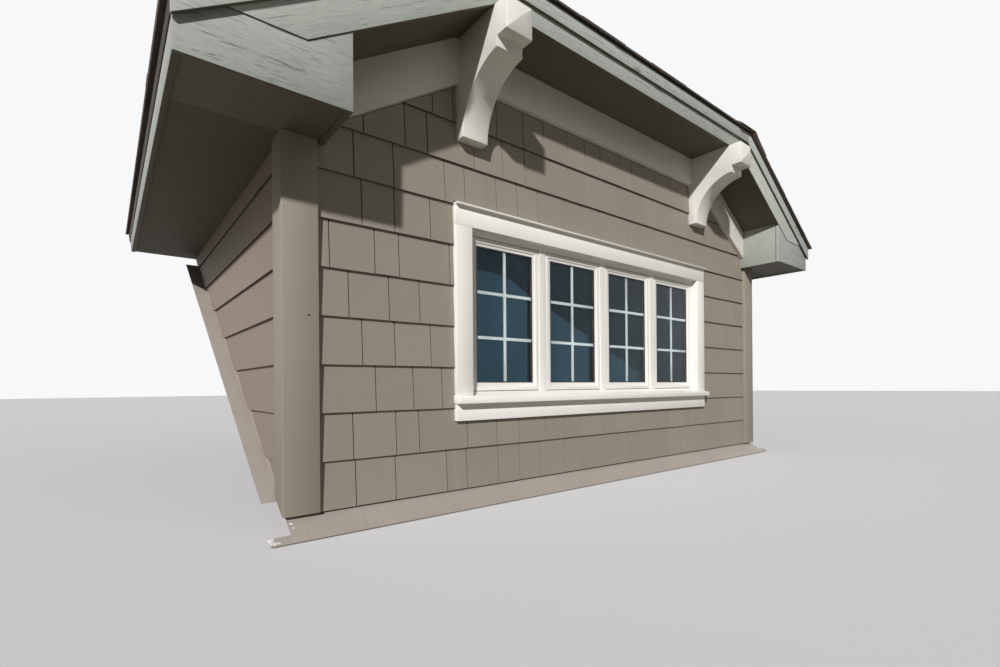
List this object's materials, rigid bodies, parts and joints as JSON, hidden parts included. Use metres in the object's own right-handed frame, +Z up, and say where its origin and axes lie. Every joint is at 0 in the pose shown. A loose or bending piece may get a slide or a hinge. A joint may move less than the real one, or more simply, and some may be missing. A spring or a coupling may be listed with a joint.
{
  "type": "dormer window",
  "caption": "Gabled dormer with a clipped front slope, boxed eave returns, arched knee brackets and a band of casement windows, cut to sit on a sloped roof.",
  "frame": {"origin": "middle of the underside of the front sole plate, on the dormer's centre line", "axes": "+X along the front to the right as seen from outside, +Y into the building, +Z up"},
  "size_m": [4.188, 4.8893, 2.8887],
  "materials": {
    "lumber": "planed softwood framing, unfinished",
    "board": "sheathing and roof deck boards, unfinished",
    "siding": "weathered shingle siding, taupe",
    "corner": "painted board, taupe",
    "white_trim": "painted board, warm white, satin",
    "window": "window frame and sashes, warm white, satin",
    "glass": "clear double glazing",
    "fascia": "rough-sawn board, pale sage paint",
    "soffit": "rough-sawn board, sage paint",
    "shingle": "asphalt shingles, brown and grey granules",
    "flashing": "folded sheet metal, taupe paint"
  },
  "bodies": {
    "root": {"front_frame": "lumber", "cheek_frames": "lumber", "front_sheathing": "board", "cheek_sheathing": "board", "front_siding": "siding", "cheek_siding_left": "siding", "cheek_siding_right": "siding", "corner_board_left": "corner", "corner_board_right": "corner", "window_frame": "window", "window_sashes": "window", "window_glass": "glass", "head_casing": "white_trim", "drip_cap": "white_trim", "side_casings": "white_trim", "window_sill": "white_trim", "apron_board": "white_trim", "front_frieze": "white_trim", "rake_friezes": "white_trim", "bracket_left": "white_trim", "bracket_right": "white_trim", "return_left": "fascia", "return_right": "fascia", "front_fascia": "fascia", "rake_fascia_left": "fascia", "rake_fascia_right": "fascia", "eave_fascias": "fascia", "front_trim": "fascia", "rake_trims": "fascia", "eave_trims": "fascia", "front_soffit": "soffit", "rake_soffits": "soffit", "eave_soffits": "soffit", "ridge_board": "lumber", "rafters": "lumber", "hip_rafters": "lumber", "deck_left": "board", "deck_right": "board", "deck_front": "board", "shingles_left": "shingle", "shingles_right": "shingle", "shingles_front": "shingle", "roof_caps": "shingle", "apron_flashing": "flashing", "cheek_flashings": "flashing"}
  },
  "joints": []
}
